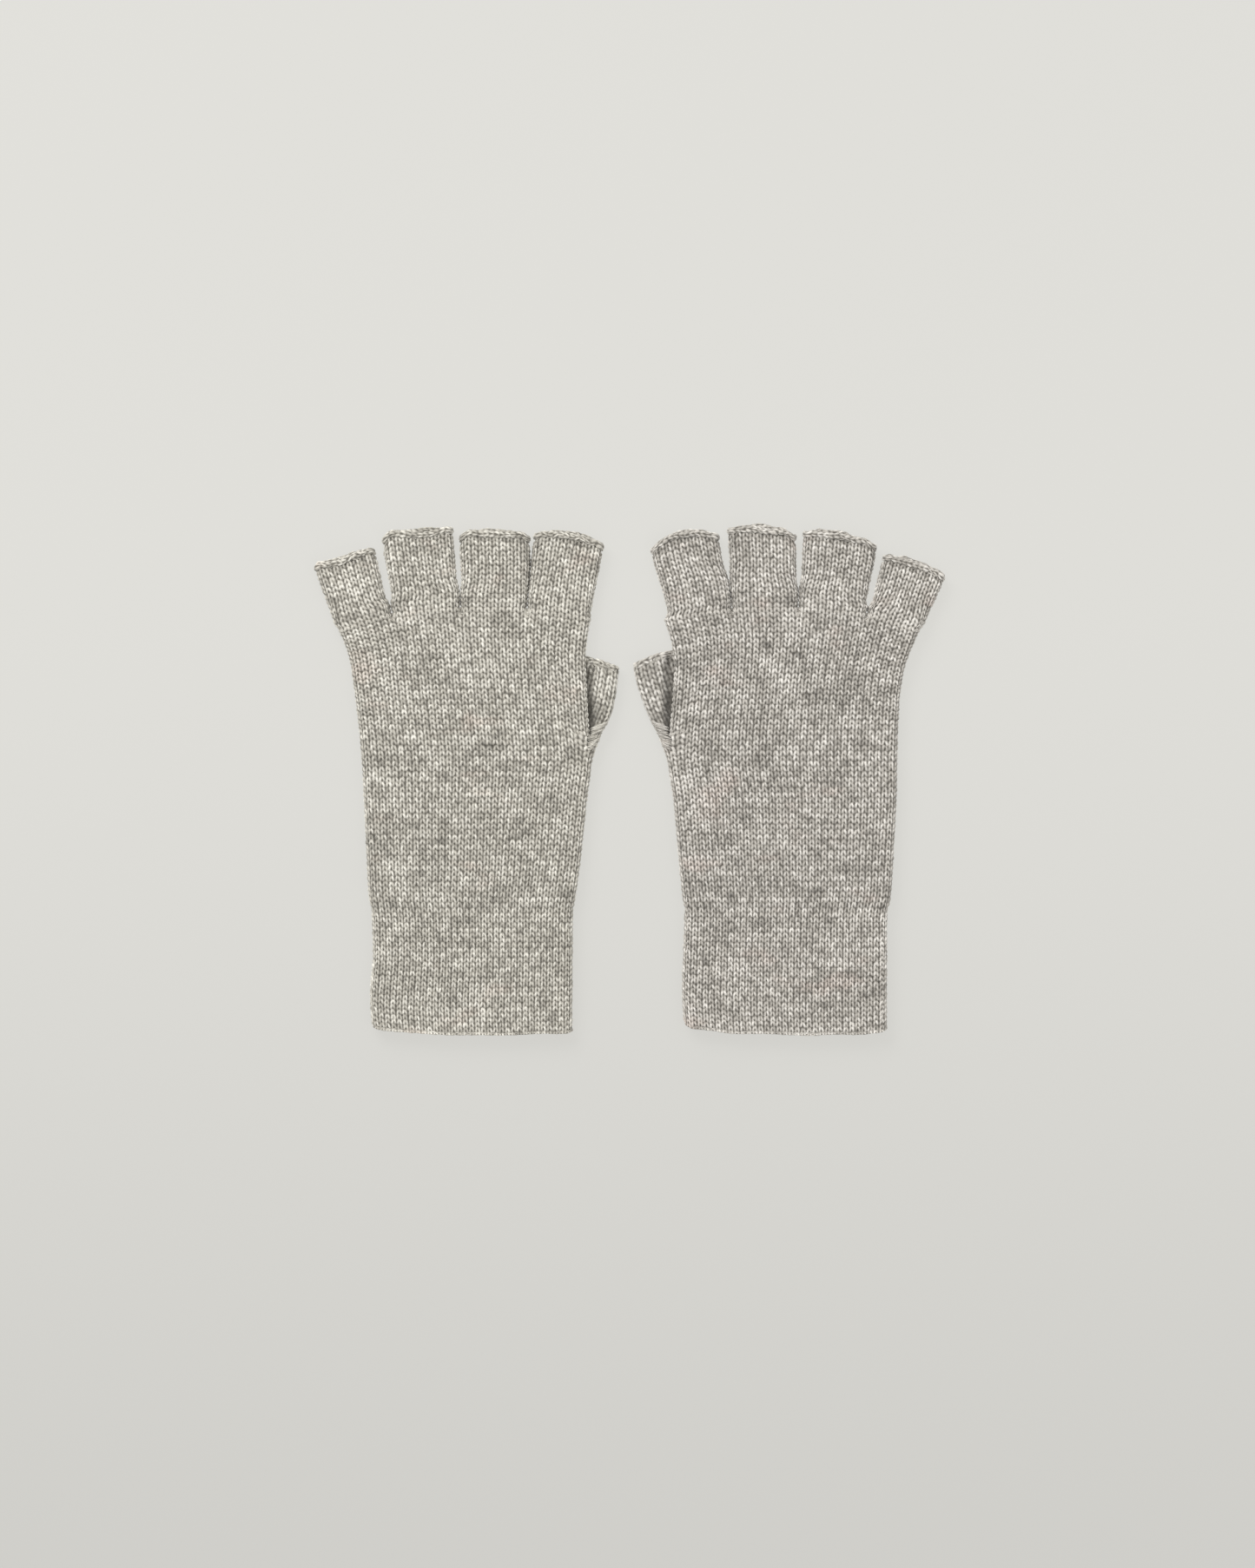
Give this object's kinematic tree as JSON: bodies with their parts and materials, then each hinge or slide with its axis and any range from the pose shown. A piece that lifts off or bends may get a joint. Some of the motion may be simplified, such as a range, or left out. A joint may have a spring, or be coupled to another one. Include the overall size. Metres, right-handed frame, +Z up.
{
  "type": "fingerless gloves",
  "caption": "Pair of knitted fingerless gloves lying flat, with open finger and thumb stalls that bend and ribbed cuffs that fold back over the hand.",
  "frame": {"origin": "middle of the pair's footprint, on the surface that it lies on", "axes": "+X from the left glove to the right glove, +Y from the cuffs to the fingertips, +Z up from the palm side to the backs of the hands"},
  "size_m": [0.2828, 0.2306, 0.0084],
  "materials": {
    "hand_knit": "matte melange wool knit",
    "finger_knit": "matte melange wool knit",
    "thumb_knit": "matte melange wool knit",
    "cuff_knit": "matte melange ribbed wool knit",
    "bound_edge": "matte bound-off wool loops",
    "gathered_stitches": "matte gathered wool stitches"
  },
  "bodies": {
    "left_hand": {"left_hand_upper": "hand_knit", "left_hand_lower": "hand_knit", "left_crotch_ties": "gathered_stitches"},
    "left_cuff": {"left_cuff_rib": "cuff_knit", "left_cuff_edge": "bound_edge"},
    "left_little": {"left_little_stall": "finger_knit", "left_little_edge": "bound_edge"},
    "left_ring": {"left_ring_stall": "finger_knit", "left_ring_edge": "bound_edge"},
    "left_middle": {"left_middle_stall": "finger_knit", "left_middle_edge": "bound_edge"},
    "left_index": {"left_index_stall": "finger_knit", "left_index_edge": "bound_edge"},
    "left_thumb": {"left_thumb_stall": "thumb_knit", "left_thumb_edge": "bound_edge"},
    "right_hand": {"right_hand_upper": "hand_knit", "right_hand_lower": "hand_knit", "right_crotch_ties": "gathered_stitches"},
    "right_cuff": {"right_cuff_rib": "cuff_knit", "right_cuff_edge": "bound_edge"},
    "right_little": {"right_little_stall": "finger_knit", "right_little_edge": "bound_edge"},
    "right_ring": {"right_ring_stall": "finger_knit", "right_ring_edge": "bound_edge"},
    "right_middle": {"right_middle_stall": "finger_knit", "right_middle_edge": "bound_edge"},
    "right_index": {"right_index_stall": "finger_knit", "right_index_edge": "bound_edge"},
    "right_thumb": {"right_thumb_stall": "thumb_knit", "right_thumb_edge": "bound_edge"}
  },
  "joints": [
    {"name": "left_cuff_fold", "type": "hinge", "parent": "left_hand", "child": "left_cuff", "pos_m": [-0.071, -0.0593, 0.0087], "axis": [-1, 0, 0], "range_deg": [0, 170]},
    {"name": "left_little_bend", "type": "hinge", "parent": "left_hand", "child": "left_little", "pos_m": [-0.12173, 0.07473, 0.0042], "axis": [-0.9537, -0.3007, 0], "range_deg": [-75, 90]},
    {"name": "left_ring_bend", "type": "hinge", "parent": "left_hand", "child": "left_ring", "pos_m": [-0.09238, 0.08028, 0.0042], "axis": [-0.9965, -0.0836, 0], "range_deg": [-75, 90]},
    {"name": "left_middle_bend", "type": "hinge", "parent": "left_hand", "child": "left_middle", "pos_m": [-0.06144, 0.0814, 0.0042], "axis": [-0.9999, 0.0133, 0], "range_deg": [-75, 90]},
    {"name": "left_index_bend", "type": "hinge", "parent": "left_hand", "child": "left_index", "pos_m": [-0.0312, 0.07896, 0.0042], "axis": [-0.989, 0.1478, 0], "range_deg": [-75, 90]},
    {"name": "left_thumb_bend", "type": "hinge", "parent": "left_hand", "child": "left_thumb", "pos_m": [-0.02511, 0.02624, 0.0016], "axis": [-0.9659, 0.2588, 0], "range_deg": [0, 90]},
    {"name": "pair_slide", "type": "slide", "parent": "left_hand", "child": "right_hand", "axis": [1, 0, 0], "range_m": [0, 0.1]},
    {"name": "right_cuff_fold", "type": "hinge", "parent": "right_hand", "child": "right_cuff", "pos_m": [0.071, -0.0593, 0.0087], "axis": [-1, 0, 0], "range_deg": [0, 170]},
    {"name": "right_little_bend", "type": "hinge", "parent": "right_hand", "child": "right_little", "pos_m": [0.12173, 0.07473, 0.0042], "axis": [-0.9537, 0.3007, 0], "range_deg": [-75, 90]},
    {"name": "right_ring_bend", "type": "hinge", "parent": "right_hand", "child": "right_ring", "pos_m": [0.09238, 0.08028, 0.0042], "axis": [-0.9965, 0.0836, 0], "range_deg": [-75, 90]},
    {"name": "right_middle_bend", "type": "hinge", "parent": "right_hand", "child": "right_middle", "pos_m": [0.06144, 0.0814, 0.0042], "axis": [-0.9999, -0.0133, 0], "range_deg": [-75, 90]},
    {"name": "right_index_bend", "type": "hinge", "parent": "right_hand", "child": "right_index", "pos_m": [0.0312, 0.07896, 0.0042], "axis": [-0.989, -0.1478, 0], "range_deg": [-75, 90]},
    {"name": "right_thumb_bend", "type": "hinge", "parent": "right_hand", "child": "right_thumb", "pos_m": [0.02511, 0.02624, 0.0016], "axis": [-0.9659, -0.2588, 0], "range_deg": [0, 90]}
  ]
}
